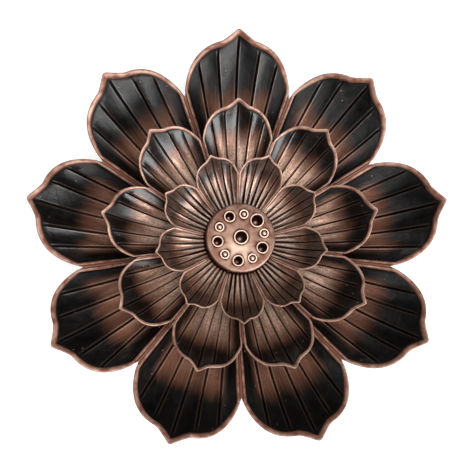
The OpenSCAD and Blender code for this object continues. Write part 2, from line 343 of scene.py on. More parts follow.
class Stage(bpy.types.PropertyGroup):
    """Light and camera."""

    key_power: number("Key light", "Power of the lower softbox", 7.8, "POWER")
    top_power: number("Top light", "Power of the softbox overhead", 2.6, "POWER")
    sky_power: number("Sky panel", "Power of the wide panel overhead", 12.3, "POWER")
    fill: number("Fill", "Strength of the world's even light", 0.01)
    lens: number("Lens", "Focal length of the camera", 71.14, "DISTANCE_CAMERA")
    distance: length("Distance", "Distance from the camera to the point it looks at", 237.6)
    target_z: length("Target height", "Height of the point that the camera looks at", 24)
    elevation: angle("Elevation", "Angle of the view above the horizon", 79.58)
    azimuth: angle("Azimuth", "Direction of the camera's right side", -37.9)
    roll: angle("Roll", "Roll of the camera", -37.51)


# Meshes

def grid_quads(rows, columns, close_rows=False, close_columns=False):
    """Quads between neighbours of a grid whose points are numbered row by row."""
    r = np.arange(rows if close_rows else rows - 1)[:, None]
    c = np.arange(columns if close_columns else columns - 1)[None, :]
    below, beside = (r + 1) % rows, (c + 1) % columns
    corners = [r * columns + c, r * columns + beside, below * columns + beside, below * columns + c]
    return np.stack(corners, -1).reshape(-1, 4)


def polar(radius, turn, *height):
    """Points at radii and angles, with heights where they are given."""
    return np.stack(np.broadcast_arrays(radius * np.cos(turn), radius * np.sin(turn), *height), -1)


def weld(points, quads):
    """Merges points that share a place. Returns the kept points' numbers, the quads and the triangles."""
    _, kept, merged = np.unique(np.round(points, 5), axis=0, return_index=True, return_inverse=True)
    quads = merged.reshape(-1)[quads]
    first, last = quads[:, 0] == quads[:, 1], quads[:, 2] == quads[:, 3]
    triangles = np.concatenate([quads[first & ~last][:, 1:], quads[last & ~first][:, :3]])
    return kept, quads[~first & ~last], triangles


def outward(points, groups):
    """Groups of faces, turned so that the closed surface has a positive volume."""
    volume = 0
    for faces in groups:
        a, b, c, d = (points[faces[:, corner]] for corner in (0, 1, 2, -1))
        volume += np.einsum("ij,ij->", a, np.cross(b, c) + np.cross(c, d))
    return groups if volume > 0 else [faces[:, ::-1] for faces in groups]


def make_piece(name, surface, material, body, replaces=None, sharp=40, welded=True):
    """Mesh object from a surface in millimetres, with its point values, material, body and slot. Welding
    closes the poles and seams of a surface that isn't closed already."""
    points, quads, values = surface
    groups = [quads]
    if welded:
        kept, *groups = weld(points, quads)
        points = points[kept]
        values = {key: value[kept] for key, value in values.items()}
    mesh = bpy.data.meshes.new(name)
    faces = [face for group in outward(points, groups) for face in group.tolist()]
    mesh.from_pydata((points * MM).tolist(), [], faces)
    for key, value in values.items():
        vector = value.ndim == 2
        layer = mesh.attributes.new(key, "FLOAT_VECTOR" if vector else "FLOAT", "POINT")
        layer.data.foreach_set("vector" if vector else "value", value.astype(np.float32).ravel())
    mesh.shade_smooth()
    mesh.set_sharp_from_angle(angle=np.radians(sharp))
    mesh.materials.append(material)
    mesh.update()
    piece = bpy.data.objects.new(name, mesh)
    bpy.context.collection.objects.link(piece)
    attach(piece, body)
    if replaces:
        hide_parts(replaces)
    return piece


# Petals

def edge_radius(tier, a):
    """Radius of a petal's edge at an angle: a flat-topped lobe that falls by a power of the angle to the
    notch, and a drawn-out point in the middle."""
    notch, shoulder = tier.tip_r - tier.lobe, tier.tip_r - tier.point
    a = np.sqrt(a * a + TIP_SOFTNESS ** 2) - TIP_SOFTNESS
    lobe = notch + (shoulder - notch) * (1 - np.clip(a / HALF_PITCH, 0, 1) ** SHOULDER_SQUARENESS)
    return lobe + tier.point * np.clip(1 - a / POINT_ANGLE, 0, 1) ** POINT_POWER


def petal_height(tier, r, a):
    """Height of a petal's face: the edge's height times a power of the share of the way out to the edge.
    The power falls from the centre line to the crease, so the petal is hollow like a spoon."""
    across = np.clip(np.abs(a) / HALF_PITCH, 0, 1)
    share = np.clip((r - tier.floor_r) / (edge_radius(tier, a) - tier.floor_r), 0, 1.05)
    top = tier.rise - tier.drop * across ** EDGE_FALL_POWER
    return tier.floor_z + top * share ** (CENTRE_CURL + (CREASE_CURL - CENTRE_CURL) * across ** 2)


def web_angle(tier):
    """Angle of half the web between two rims."""
    return np.degrees(tier.web * tier.rim / 2 / (tier.tip_r - tier.lobe))


def vein_section(x):
    """Height across a vein in vein depths, x in vein widths from its middle: a groove whose walls slope to a
    narrow floor, with a swollen lip on each side."""
    x = np.abs(x)
    groove = -(1 - ramp(FLOOR_HALF, MOUTH_HALF, x))
    return groove + LIP_HEIGHT * np.exp(-((x - LIP_PLACE) / LIP_WIDTH) ** 2)


class PetalColumns:
    """Columns of a tier's grid, round all its petals. A column keeps an angle from its petal's centre line
    and, beside a vein, a distance in millimetres from that angle, so a vein keeps its width on its way out.
    Each vein leans and bends a little, as if cut by hand."""

    def __init__(self, tier):
        self.tier = tier
        self.notch = tier.tip_r - tier.lobe
        self.web = web_angle(tier)
        # Further in than this the petal is too narrow, and the veins narrow with it
        self.near = VEIN_COLUMNS.max() * tier.vein_w / np.radians(VEIN_REACH)
        rim = np.degrees(tier.rim / self.notch)
        inset = [self.web * np.array([0, 0.6, 1]), self.web + rim * np.array([0.5, 1, 1.25, 1.55, 1.9])]
        side = HALF_PITCH - np.concatenate(inset)
        plain = np.concatenate([VEIN_PITCH * np.array([-1.5, -0.5, 0.5, 1.5]), -side, side[1:]])
        count = len(VEIN_COLUMNS)
        centre = np.concatenate([np.repeat(VEIN_ANGLES, count), plain])
        offset = np.concatenate([np.tile(VEIN_COLUMNS * tier.vein_w, VEINS), 0 * plain])
        owner = np.concatenate([np.repeat(np.arange(VEINS), count), np.full(len(plain), -1)])
        order = np.argsort(centre + np.degrees(offset / self.notch))
        self.centre, self.offset, self.owner = (np.tile(v[order], PETALS) for v in (centre, offset, owner))
        self.petal = np.repeat(np.arange(PETALS), len(order))
        hand = np.random.default_rng(VEIN_SEED)
        self.lean = np.clip(hand.normal(0, LEAN_SPREAD, (PETALS, VEINS)), -LEAN_MOST, LEAN_MOST)
        self.phase = hand.uniform(0, 2 * np.pi, (PETALS, VEINS))
        self.cut = hand.uniform(*CUT, (PETALS, VEINS))
        self.tone = hand.uniform(*STRIP_TONE, (PETALS, VEINS + 1))

    def drift(self, radius, petal, vein):
        """Angle by which a vein strays from its own at a radius."""
        wave = np.sin(BEND_PACE * radius / self.tier.tip_r + self.phase[petal, vein])
        return self.lean[petal, vein] + BEND * wave

    def bearing(self, radius):
        """Angle of each column from its petal's centre line at a radius."""
        strayed = np.where(self.owner < 0, 0, self.drift(radius, self.petal, self.owner))
        return self.centre + strayed + np.degrees(self.offset / np.maximum(radius, self.near))

    def points(self, radius, bearing, height):
        """Points at radii, at angles from the petals' centre lines, and at heights."""
        return polar(radius, np.radians(90 - self.tier.turn + 2 * HALF_PITCH * self.petal + bearing), height)

    def rings(self, profile):
        """Rings about the axis, one for each radius and height of a profile."""
        radius, height = np.array(profile).T[..., None] + 0 * self.centre
        return self.points(radius, self.bearing(radius), height)


def petal_face(columns):
    """Rows of a tier's face, from the floor out to the rim: radius, angle and height, with the distance to
    the nearest vein, its depth of cut, its section and the number of the strip between two veins. The radius
    and the angle depend on each other, so they are worked out in a few rounds."""
    tier, rows = columns.tier, FACE_ROWS[:, None]
    r = tier.floor_r + rows * (columns.notch - tier.floor_r) + 0 * columns.centre
    for _ in range(6):
        a = columns.bearing(r)
        inset = tier.rim * (0.25 + 0.25 * ramp(0, 3, HALF_PITCH - np.abs(a)))
        r = tier.floor_r + rows * (edge_radius(tier, a) - inset - tier.floor_r)
    a = columns.bearing(r)

    gap = a[..., None] - VEIN_ANGLES - columns.drift(r[..., None], columns.petal[:, None], np.arange(VEINS))
    which = np.abs(gap).argmin(-1)
    nearest = np.take_along_axis(gap, which[..., None], -1)[..., 0]
    scale = np.minimum(1, r / columns.near)
    across = np.abs(np.radians(nearest) * r / (tier.vein_w * scale))
    fade = ramp(-0.1, 1.3, (edge_radius(tier, a) - tier.rim - r) / tier.rim) * ramp(0, 0.12, rows)
    cut = fade * columns.cut[columns.petal, which]
    vein = vein_section(across) * cut
    swell = 0.5 - 0.5 * np.cos(np.clip(np.abs(nearest) / (VEIN_PITCH / 2), 0, 1) * np.pi)
    crown = CROWN_HEIGHT * swell * ramp(0.02, 0.1, rows)
    height = petal_height(tier, r, a) + (vein + crown) * tier.vein_d * scale
    strip = (gap > 0).sum(-1)
    return SimpleNamespace(r=r, a=a, height=height, across=across, cut=cut, vein=vein, strip=strip)


def petal_values(columns, face, grid, first):
    """What the finish reads at each point of a tier's grid, whose face starts at a row: place on the petal,
    how far inside the buffed patch it lies, how bright, warm and glossy it is, hollows with patina and
    painted shade, crests and webs."""
    tier, r, web, near = columns.tier, face.r, columns.web, columns.near
    out, aside = r / tier.tip_r, np.abs(face.a)

    def on_face(value, elsewhere=0.0):
        whole = np.full(grid.shape[:2], elsewhere)
        whole[first:first + len(r)] = value
        return whole.ravel()

    spread = tier.spread + SIDE_PARTING * ramp(0.6, 0.38, out)
    relief = np.minimum((tier.border - out) / BORDER_SOFTNESS, (spread - aside) / SIDE_SOFTNESS)
    polish = tier.polish * columns.tone[columns.petal, face.strip] * ramp(-0.5, 2.2, relief)
    webbed = 1 - ramp(0.5 * web, 1.3 * web, HALF_PITCH - aside)
    # Patina stays in the grooves, which fill up where the veins crowd round the hub. Along the rims' foot the
    # dark is patina and painted shade, and a ring of painted shade lies on the floor where the petals rise
    # from it
    crowded = ramp(1.6 * near, 0.85 * near, r)
    groove = (1 - ramp(0.24 + 0.4 * crowded, 0.52 + 0.6 * crowded, face.across)) * face.cut
    # A ring of painted shade on the floor just outside where the petals rise from it
    painted_seam_shade = 1 - ramp(tier.floor_r + 1.1, tier.floor_r + 1.6, r)
    # Patina and painted shade along the rims' foot
    to_edge, to_crease = edge_radius(tier, face.a) - r, np.radians(HALF_PITCH - web - aside) * r
    to_rim = np.minimum(0.8 * to_edge, to_crease) - 0.62 * tier.rim
    foot = (1 - ramp(-0.1 * tier.rim, 0.6 * tier.rim, to_rim)) * ramp(0.05, 0.2, FACE_ROWS[:, None])
    reach = np.hypot(grid[..., 0], grid[..., 1])
    place = [np.radians(columns.bearing(reach)) * reach, reach, 0 * reach + columns.petal * PETAL_STEP]
    return {
        "petal_mm": np.stack(place, -1).reshape(-1, 3),
        "relief": on_face(np.minimum(relief, tier.buffing), -3.0),
        "polish": on_face(polish),
        "warmth": on_face(tier.warmth, 0.3),
        "gloss": on_face(tier.gloss, -1.5),
        "hollow": on_face(np.clip((groove + painted_seam_shade + foot) * (1 - webbed), 0, 1)),
        "crest": on_face(np.clip(face.vein / LIP_HEIGHT, 0, 1)),
        "web": on_face(webbed),
    }


def petal_sheet(tier):
    """One tier's skin as a closed grid: columns run round all the petals, and rows run from the bore out over
    the floor and the face, over the edge, and back along the underside and the flank to the bore. Returns
    points, quads and the values that the finish reads."""
    columns = PetalColumns(tier)
    face = petal_face(columns)
    under_r = tier.floor_r + UNDER_ROWS[:, None] * (face.r[-1] - tier.floor_r)
    under_a = columns.bearing(under_r)
    under_z = petal_height(tier, under_r, under_a) - tier.wall
    # The flank narrows from the petals to the foot, and the creases die out in it
    f = FLANK_ROWS[:, None]
    flank_r = tier.base_r + ((1 - f) * under_r[-1].mean() + f * under_r[-1] - tier.base_r) * f ** 1.4
    flank_z = tier.base_z + ((1 - f) * under_z[-1].mean() + f * under_z[-1] - tier.base_z) * f ** 0.8
    floor = [(BORE_R + share * (tier.floor_r - BORE_R), tier.floor_z) for share in (0, 0.5, 0.9)]
    if tier.base_r > RECESS_R:
        hub = [(RECESS_R, tier.base_z), (RECESS_R, RECESS_Z), (BORE_R, RECESS_Z)]
    else:
        hub = [(0.5 * (BORE_R + tier.base_r), tier.base_z), (BORE_R, tier.base_z)]
    grid = np.concatenate([columns.rings(floor), columns.points(face.r, face.a, face.height),
                           columns.points(under_r, under_a, under_z),
                           columns.points(flank_r, columns.bearing(flank_r), flank_z), columns.rings(hub)])
    quads = grid_quads(*grid.shape[:2], close_rows=True, close_columns=True)
    return grid.reshape(-1, 3), quads, petal_values(columns, face, grid, len(floor))


def even(line, count):
    """Points at even steps along a polyline."""
    travelled = np.concatenate([[0], np.cumsum(np.linalg.norm(np.diff(line, axis=0), axis=1))])
    steps = np.linspace(0, travelled[-1], count)
    return np.stack([np.interp(steps, travelled, line[:, k]) for k in (0, 1)], -1)


def softened(line, width):
    """A polyline averaged over a width in steps. It is mirrored at its end and drawn on at its start."""
    pad = 3 * width
    mirror = line[-2:-pad - 2:-1] * [-1, 1]
    ahead = line[0] - (line[1] - line[0]) * np.arange(pad, 0, -1)[:, None]
    longer = np.concatenate([ahead, line, mirror])
    weight = np.exp(-0.5 * (np.arange(-pad, pad + 1) / width) ** 2)
    weight /= weight.sum()
    return np.stack([np.convolve(longer[:, k], weight, "valid") for k in (0, 1)], -1)


def moved_in(line, width):
    """A line moved sideways by a width at each point. Where it would pass the centre line, its last points
    are drawn back along it, so it ends there."""
    ahead = np.gradient(line, axis=0)
    ahead /= np.linalg.norm(ahead, axis=1)[:, None]
    moved = line + np.stack([-ahead[:, 1], ahead[:, 0]], -1) * width[:, None]
    past = moved[:, 0] < 0
    last = len(line) - 1
    spare = last - np.argmax(past) if past.any() else 0
    index = np.arange(len(line))
    pulled = index - spare * ramp(last - 4 * max(spare, 1), last, index)
    moved = np.stack([np.interp(pulled, index, moved[:, k]) for k in (0, 1)], -1)
    moved[-1, 0] = 0
    return moved


def petal_rims(tier, steps=170, sides=18):
    """Raised rims of a tier: a rounded section carried from the crease round the petal's edge and back. The
    section spans an outer line, the petal's edge, and an inner line, the edge moved in by the rim's width and
    cut off at the centre line, so the two halves meet in a mitre at the tip. Returns points, quads and the
    values that the finish reads."""
    notch = tier.tip_r - tier.lobe
    border = HALF_PITCH - web_angle(tier)
    lobe_a = border * (1 - np.linspace(0, 1, 400) ** 1.5)
    lobe_r = edge_radius(tier, lobe_a)
    crease_r = np.linspace(tier.floor_r + 0.06 * tier.tip_r, lobe_r[0], 200)[:-1]
    a = np.radians(np.concatenate([np.full_like(crease_r, border), lobe_a]))
    r = np.concatenate([crease_r, lobe_r])
    outer = softened(even(np.stack([r * np.sin(a), r * np.cos(a)], -1), FINER * steps + 1), FINER)
    outer[-1, 0] = 0

    away = np.hypot(*outer.T)
    along = np.arange(len(outer)) * np.linalg.norm(outer[1] - outer[0])
    full = ramp(-0.02 * tier.tip_r, 0.16 * tier.tip_r, along - along[np.argmax(away > notch)])
    grow = np.sqrt(np.clip(along / (0.05 * tier.tip_r), 0, 1))
    width = tier.rim * (tier.crease + (1 - tier.crease) * full) * np.clip(away / notch, 0, 1) ** 0.7 * grow
    inner = moved_in(outer, width)

    def both_halves(line, sign=1):
        half = line[::FINER]
        return np.concatenate([half, half[-2::-1] * sign])

    outer, inner = (both_halves(line, [-1, 1]) for line in (outer, inner))
    width, full, grow = (both_halves(value) for value in (width, full, grow))

    psi = np.linspace(0, 2 * np.pi, sides, endpoint=False)
    across, rise = (np.sign(v) * np.abs(v) ** RIM_ROUNDNESS for v in (np.cos(psi), np.sin(psi)))
    share = 0.5 - 0.5 * across
    lift, depth = RIM_LIFT * width, tier.wall * (0.45 + 0.48 * full) * grow
    mid, half = (lift - depth)[:, None] / 2, (lift + depth)[:, None] / 2
    outer_z, inner_z = (petal_height(tier, np.hypot(*line.T), np.degrees(np.arctan2(*line.T)))[:, None]
                        for line in (outer, inner))
    z = outer_z * (1 - share) + inner_z * share + mid + half * rise
    crest = np.broadcast_to(ramp(0.2, 1, rise) * ramp(0.98, 0.55, share), z.shape)

    # Each rim's inner side wavers in its own way
    hand = np.random.default_rng(RIM_SEED)
    station = np.linspace(0, 1, len(outer))
    waves = hand.uniform(0, 2 * np.pi, (2, PETALS, 1))
    uneven = 0.94 + 0.05 * np.sin(24 * station + waves[0]) + 0.04 * np.sin(61 * station + waves[1])
    share = (share * uneven[..., None])[..., None]
    x, y = np.moveaxis(outer[:, None, :] * (1 - share) + inner[:, None, :] * share, -1, 0)
    turn = np.radians(-tier.turn + np.arange(PETALS) * 2 * HALF_PITCH)[:, None, None]
    points = np.stack([x * np.cos(turn) - y * np.sin(turn), x * np.sin(turn) + y * np.cos(turn),
                       np.broadcast_to(z, x.shape)], -1).reshape(-1, 3)
    quads = grid_quads(len(outer), sides, close_columns=True) + np.arange(PETALS)[:, None, None] * z.size
    values = {"crest": np.tile(crest.ravel(), PETALS), "rub": np.full(len(points), tier.rub)}
    return points, quads.reshape(-1, 4), values


# Seed pod

def hole_rings(pod, bore, top, depth):
    """Distances from a hole's axis and heights: from the middle of its floor up the wall, over the collar."""
    edge, floor = bore + pod.collar, top - depth
    return np.array([(0, floor - 0.1), (0.5 * bore, floor - 0.06), (bore - 0.08, floor), (bore, floor + 0.1),
                     (bore, top - 0.6 * depth), (bore, top - 0.3 * depth), (bore, top - 0.16),
                     (bore + 0.03, top - 0.06), (bore + 0.1, top - 0.01), (bore + 0.2, top),
                     (edge - 0.12, top - 0.015), (edge - 0.04, top - 0.06), (edge, top - 0.15)])


def seed_rings(pod, base):
    """Distances from a seed's axis and heights: a sphere, the floor of its cup and the collar round it."""
    turn = np.radians(np.linspace(0, 84, 9))
    bead = np.stack([pod.seed * np.sin(turn), base + pod.seed * np.cos(turn) - 0.06], -1)
    cup, edge, top = pod.ring - pod.collar, pod.ring, base + pod.ring_h
    collar = [(pod.seed + 0.06, base - 0.08), (cup - 0.04, base - 0.08), (cup, base),
              (cup + 0.02, top - 0.08), (cup + 0.1, top), (edge - 0.12, top), (edge - 0.03, top - 0.05),
              (edge, top - 0.12)]
    return np.concatenate([bead, collar])


def pod_outline(pod, seat_z):
    """Radii and heights of the pod's turned side, from the dome's edge round the bevel and down the flared
    side to the foot, then down the spigot and up its bore."""
    top_r, edge_z, low = pod.radius - pod.bevel, seat_z + pod.height, low_z("seed_pod")
    return np.array([(top_r, edge_z), (top_r + 0.25, edge_z - 0.03), (top_r + 0.52, edge_z - 0.12),
                     (top_r + 0.74, edge_z - 0.28), (pod.radius - 0.04, edge_z - 0.55),
                     (pod.radius, edge_z - pod.bevel), (pod.radius, seat_z + pod.belly),
                     (pod.radius - 0.35, seat_z + pod.belly * 0.6), (POD_FOOT_R, seat_z + 0.4),
                     (POD_FOOT_R, seat_z), (SPIGOT_R, seat_z), (SPIGOT_R, low), (SCREW_BORE_R, low),
                     (SCREW_BORE_R, seat_z + SCREW_BORE_RISE), (0, seat_z + SCREW_BORE_RISE)])


def pod_cells(pod):
    """Cells round the pod's top, one for each hole and seed: bearing, bore radius and depth, and the bearings
    at which the cell starts and ends, midway between its collar and the next. A seed has no bore."""
    step = 360 / len(STICK_BORES)
    cells = []
    for i, bore in enumerate(STICK_BORES):
        bearing = 90 - pod.turn - i * step
        cells += [(bearing, bore / 2, pod.depth - i * pod.depth_step), (bearing - step / 2, 0, 0)]
    bearing, bore, depth = np.array(sorted(cells)).T
    reach = np.degrees(np.arcsin(np.where(bore > 0, bore + pod.collar, pod.ring) / pod.circle))
    following = np.append(bearing[1:], bearing[0] + 360)
    end = bearing + reach + (following - bearing - reach - np.roll(reach, -1)) / 2
    start = np.append(end[-1] - 360, end[:-1])
    return zip(bearing, bore, depth, start, end)


def spread_rings(centre, turn, rings, border, dome):
    """Rings about a centre, then rings on the dome from the last one's foot out to a border line."""
    distance, height = rings.T[..., None]
    inside = polar(distance, turn, height) + [*centre, 0]
    share = np.array(DOME_SHARES)[:, None, None]
    plan = inside[-1, :, :2] * (1 - share) + border * share
    top = dome(np.linalg.norm(plan, axis=-1, keepdims=True))
    return np.concatenate([inside, np.concatenate([plan, top], -1)])


def seed_pod_surface(pod, seat_z):
    """The pod: ten cells round the top, each with a hole or a seed whose rings open out to the cell's border,
    the centre hole inside them, and the turned side, foot and spigot outside. Returns points, quads and the
    values that the finish reads."""
    top_r = pod.radius - pod.bevel

    def dome(r):
        return seat_z + pod.height + pod.dome * (1 - (r / top_r) ** 2)

    sheets, turns = [], []
    base, side = dome(pod.circle), np.ones(CELL_SIDE)
    for bearing, bore, depth, start, end in pod_cells(pod):
        out, turn = np.linspace(CELL_R, top_r, CELL_SIDE + 1), np.linspace(start, end, CELL_SIDE + 1)
        radius = np.concatenate([out[:-1], side * top_r, out[:0:-1], side * CELL_R])
        around = np.concatenate([side * start, turn[:-1], side * end, turn[:0:-1]])
        border, centre = polar(radius, np.radians(around)), polar(pod.circle, np.radians(bearing))
        if bore:
            rings, shade, crest = hole_rings(pod, bore, base + pod.collar_h, depth), HOLE_SHADE, HOLE_CREST_AND_GLINT
        else:
            rings, shade, crest = seed_rings(pod, base), SEED_SHADE, SEED_CREST
        sheet = spread_rings(centre, np.arctan2(*(border - centre).T[::-1]), rings, border, dome)
        sheets.append((sheet, shade + DOME_SHADE, crest + DOME_CREST))
        turns.append(turn[:-1])

    turn = np.radians(np.concatenate(turns))
    rings = hole_rings(pod, pod.centre_bore / 2, dome(0) + pod.collar_h, pod.depth)
    middle = spread_rings((0, 0), turn, rings, polar(CELL_R, turn), dome)
    sheets.append((middle, HOLE_SHADE + DOME_SHADE, HOLE_CREST_AND_GLINT + DOME_CREST))
    radius, height = pod_outline(pod, seat_z).T[..., None]
    sheets.append((polar(radius, turn, height), SIDE_SHADE, SIDE_PAINTED_HIGHLIGHT))

    points, quads, shades, crests = [], [], [], []
    first = 0
    for sheet, shade, crest in sheets:
        rows, count = sheet.shape[:2]
        points.append(sheet.reshape(-1, 3))
        quads.append(grid_quads(rows, count, close_columns=True) + first)
        shades.append(np.repeat(shade, count))
        crests.append(np.repeat(crest, count))
        first += rows * count
    points, quads, hollow, crest = (np.concatenate(parts) for parts in (points, quads, shades, crests))
    # A painted highlight: the top is paler in a patch beside the middle hole
    painted_highlight = np.exp(-((points[:, :2] - PAINTED_HIGHLIGHT_AT) ** 2).sum(1) / (2 * PAINTED_HIGHLIGHT_R ** 2))
    return points, quads, {"hollow": hollow, "crest": crest, "painted_highlight": painted_highlight}


def felt_surface(radius, thickness, columns=120):
    """A disc with a rounded edge that wavers a little, as cut felt does. Its finish reads no values."""
    flat = np.array([0, 0.3, 0.6, 0.85, 0.96]) * (radius - FELT_EDGE)
    turn = np.radians(np.linspace(-90, 90, 9))
    edge_r, edge_z = radius - FELT_EDGE + FELT_EDGE * np.cos(turn), thickness / 2 * (1 + np.sin(turn))
    bearing = np.linspace(0, 2 * np.pi, columns, endpoint=False)
    waver = 1 - FELT_WAVER * (1 + np.sin(7 * bearing) * np.sin(3 * bearing + 1))
    r = np.concatenate([flat, edge_r, flat[::-1]])[:, None] * waver
    z = np.concatenate([0 * flat, edge_z, 0 * flat + thickness])[:, None]
    return polar(r, bearing, z).reshape(-1, 3), grid_quads(*r.shape, close_columns=True), {}


# Finishes

def add_node(tree, kind, inputs=(), **settings):
    """Adds a shader node, applies its settings, and sets or links its inputs, which are given by name or in
    the order in which the node shows them. A node given as an input stands for the first result it shows."""
    made = tree.nodes.new(f"ShaderNode{kind}")
    for key, value in settings.items():
        setattr(made, key, value)
    sockets = [socket for socket in made.inputs if socket.enabled]
    if isinstance(inputs, dict):
        named = {socket.name: socket for socket in sockets}
        sockets, inputs = [named[name] for name in inputs], inputs.values()
    for socket, value in zip(sockets, inputs):
        if isinstance(value, bpy.types.Node):
            value = next(result for result in value.outputs if result.enabled)
        if isinstance(value, bpy.types.NodeSocket):
            tree.links.new(value, socket)
        else:
            socket.default_value = value
    return made


def finish_material(context, make):
    """The material of a finish, which the function of that name draws the first time it is asked for."""
    material = bpy.data.materials.get(make.__name__)
    if material is None:
        material = bpy.data.materials.new(make.__name__)
        material.use_nodes = True
        material.node_tree.nodes.clear()
        add = partial(add_node, material.node_tree)
        add("OutputMaterial", {"Surface": make(add, context.scene.lotus_finish)})
    return material


def per_mm(size):
    """Texture scale on coordinates in metres for a pattern of a size in millimetres."""
    return 1 / (size * MM)


def oxidised_copper(add, finish):
    """Red copper plate on cast zinc alloy, blackened with oxide, buffed back by hand towards the middle and
    lacquered: a black that shines grey, brown copper with brush streaks, and bright crests."""
    spot = add("TexCoord").outputs["Object"]
    place = add("Attribute", attribute_name="petal_mm").outputs["Vector"]
    relief, polish, warmth, gloss, hollow, crest, web = (
        add("Attribute", attribute_name=key).outputs["Fac"]
        for key in ("relief", "polish", "warmth", "gloss", "hollow", "crest", "web"))
    # Along the petal, brush streaks 0.5 mm wide and 10 mm long, and strokes 4 mm wide and 33 mm long
    brushed = add("Mapping", {"Vector": place, "Scale": (2.0, 0.1, 1)})
    streak = add("TexNoise", {"Vector": brushed, "Scale": 1.0, "Detail": 4.0})
    stroked = add("Mapping", {"Vector": place, "Scale": (0.25, 0.03, 1)})
    stroke = add("TexNoise", {"Vector": stroked, "Scale": 1.0, "Detail": 2.0})
    # Mottling of 2.4 mm and casting grain of 0.5 mm
    mottle = add("TexNoise", {"Vector": spot, "Scale": per_mm(2.4), "Detail": 3.0})
    grain = add("TexNoise", {"Vector": spot, "Scale": per_mm(0.5), "Detail": 2.0})
    # Where the buffing has reached the copper, and how bright it has made it
    ragged = add("Math", (streak, 0.9, relief), operation="MULTIPLY_ADD")
    uneven = add("Math", (stroke, 1.5, ragged), operation="MULTIPLY_ADD")
    buff = add("MapRange", (uneven, 0.5, 2.3), interpolation_type="SMOOTHSTEP")
    streaky = add("MapRange", (streak, 0.3, 0.7, 0.4, 1.35))
    gritty = add("MapRange", (grain, 0.35, 0.65, 0.55, 1.45))
    rubbed = add("Math", (streaky, gritty), operation="MULTIPLY")
    bright = add("Math", (rubbed, polish), operation="MULTIPLY", use_clamp=True)
    copper = add("Mix", (bright, finish.brown, finish.buffed), data_type="RGBA")
    # Where the black is thin enough to show brown
    scuffed = add("MapRange", (streak, 0.55, 0.8, 0.0, 0.1))
    patchy = add("MapRange", (mottle, 0.3, 0.7, 0.4, 1.6))
    thin = add("Math", (warmth, patchy, scuffed), operation="MULTIPLY_ADD")
    oxide = add("Mix", (thin, finish.black, finish.umber), data_type="RGBA")
    body = add("Mix", (buff, oxide, copper), data_type="RGBA")
    # Lips rubbed bare, brown webs between the rims, and patina in the hollows, with painted shade along the
    # rims' foot and on the floor where the petals rise
    reached = add("Math", (buff, 0.07), operation="MAXIMUM")
    bared = add("Math", (crest, reached), operation="MULTIPLY")
    worn = add("Math", (bared, 0.5), operation="MULTIPLY")
    crested = add("Mix", (worn, body, finish.buffed), data_type="RGBA")
    webbed = add("Mix", (web, crested, finish.web), data_type="RGBA")
    left = add("MapRange", (buff, 0.0, 0.4, 0.3, 1.0))
    dark = add("Math", (hollow, left), operation="MULTIPLY")
    shaded = add("Mix", (dark, webbed, finish.shade), data_type="RGBA")
    # Pinholes of 0.2 mm in the black, a few millimetres apart and in loose groups
    cell = add("TexVoronoi", {"Vector": spot, "Scale": per_mm(1.6)})
    hole = add("MapRange", (cell.outputs["Distance"], 0.09, 0.05))
    group = add("MapRange", (mottle, 0.56, 0.62))
    pin = add("Math", (hole, group), operation="MULTIPLY")
    flecked = add("Mix", (pin, shaded, finish.buffed), data_type="RGBA")
    # Metal where it is bare, and smoother where the lacquer is glossy
    bare = add("Math", (buff, 0.8), operation="MULTIPLY")
    metal = add("Math", (bare, hollow), operation="MAXIMUM")
    cloudy = add("MapRange", (mottle, 0.3, 0.7, 0.3, 0.44))
    glossy = add("Math", (gloss, -0.14, cloudy), operation="MULTIPLY_ADD")
    satin = add("Math", (buff, 0.18, glossy), operation="MULTIPLY_ADD")
    rough = add("Math", (hollow, 0.5, satin), operation="MULTIPLY_ADD", use_clamp=True)
    # Dents, casting pits and brush lines
    bumpy = add("MapRange", (gloss, 0.0, 1.0, 1.0, 0.55))
    dents = add("Bump", {"Height": mottle, "Strength": bumpy, "Distance": 0.12 * MM})
    pits = add("Bump", {"Height": grain, "Strength": bumpy, "Distance": 0.045 * MM, "Normal": dents})
    lines = add("Bump", {"Height": streak, "Strength": 1.0, "Distance": 0.03 * MM, "Normal": pits})
    # Lacquer, thickest on the lips and wanting in the hollows
    lacquer = add("MapRange", (gloss, 0.0, 1.0, 0.1, 0.75))
    lips = add("Math", (crest, lacquer), operation="ADD", use_clamp=True)
    open_face = add("Math", (1.0, hollow), operation="SUBTRACT")
    coat = add("Math", (lips, open_face), operation="MULTIPLY")
    return add("BsdfPrincipled", {
        "Base Color": flecked, "Metallic": metal, "Roughness": rough, "Normal": lines,
        "Coat Weight": coat, "Coat Roughness": 0.28, "Specular IOR Level": 0.3})


def relieved_copper(add, finish):
    """Red copper plate rubbed bare with a cloth wheel and lacquered matt: a pink that scatters more light
    than it mirrors, paler on the crest and with brown left at its foot."""
    spot = add("TexCoord").outputs["Object"]
    crest, rub = (add("Attribute", attribute_name=key).outputs["Fac"] for key in ("crest", "rub"))
    # Uneven rubbing of 2 mm and grain of 0.45 mm
    patch = add("TexNoise", {"Vector": spot, "Scale": per_mm(2), "Detail": 4.0})
    grain = add("TexNoise", {"Vector": spot, "Scale": per_mm(0.45), "Detail": 2.0})
    worn = add("Math", (patch, 1.4, rub), operation="MULTIPLY_ADD")
    pale = add("MapRange", (worn, 0.55, 1.3))
    high = add("MapRange", (crest, 0.3, 0.9, 0.25, 1.2))
    rubbed = add("Math", (pale, high), operation="MULTIPLY", use_clamp=True)
    tone = add("Mix", (rubbed, finish.rim, finish.rim_light), data_type="RGBA")
    bare = add("MapRange", (crest, 0.0, 0.4, 0.15, 1.0))
    foot = add("Mix", (bare, finish.umber, tone), data_type="RGBA")
    rough = add("MapRange", (patch, 0.3, 0.7, 0.28, 0.5))
    dents = add("Bump", {"Height": patch, "Strength": 1.0, "Distance": 0.16 * MM})
    pits = add("Bump", {"Height": grain, "Strength": 1.0, "Distance": 0.035 * MM, "Normal": dents})
    return add("BsdfPrincipled", {
        "Base Color": foot, "Metallic": 0.25, "Roughness": rough, "Normal": pits,
        "Coat Weight": 0.15, "Coat Roughness": 0.25})


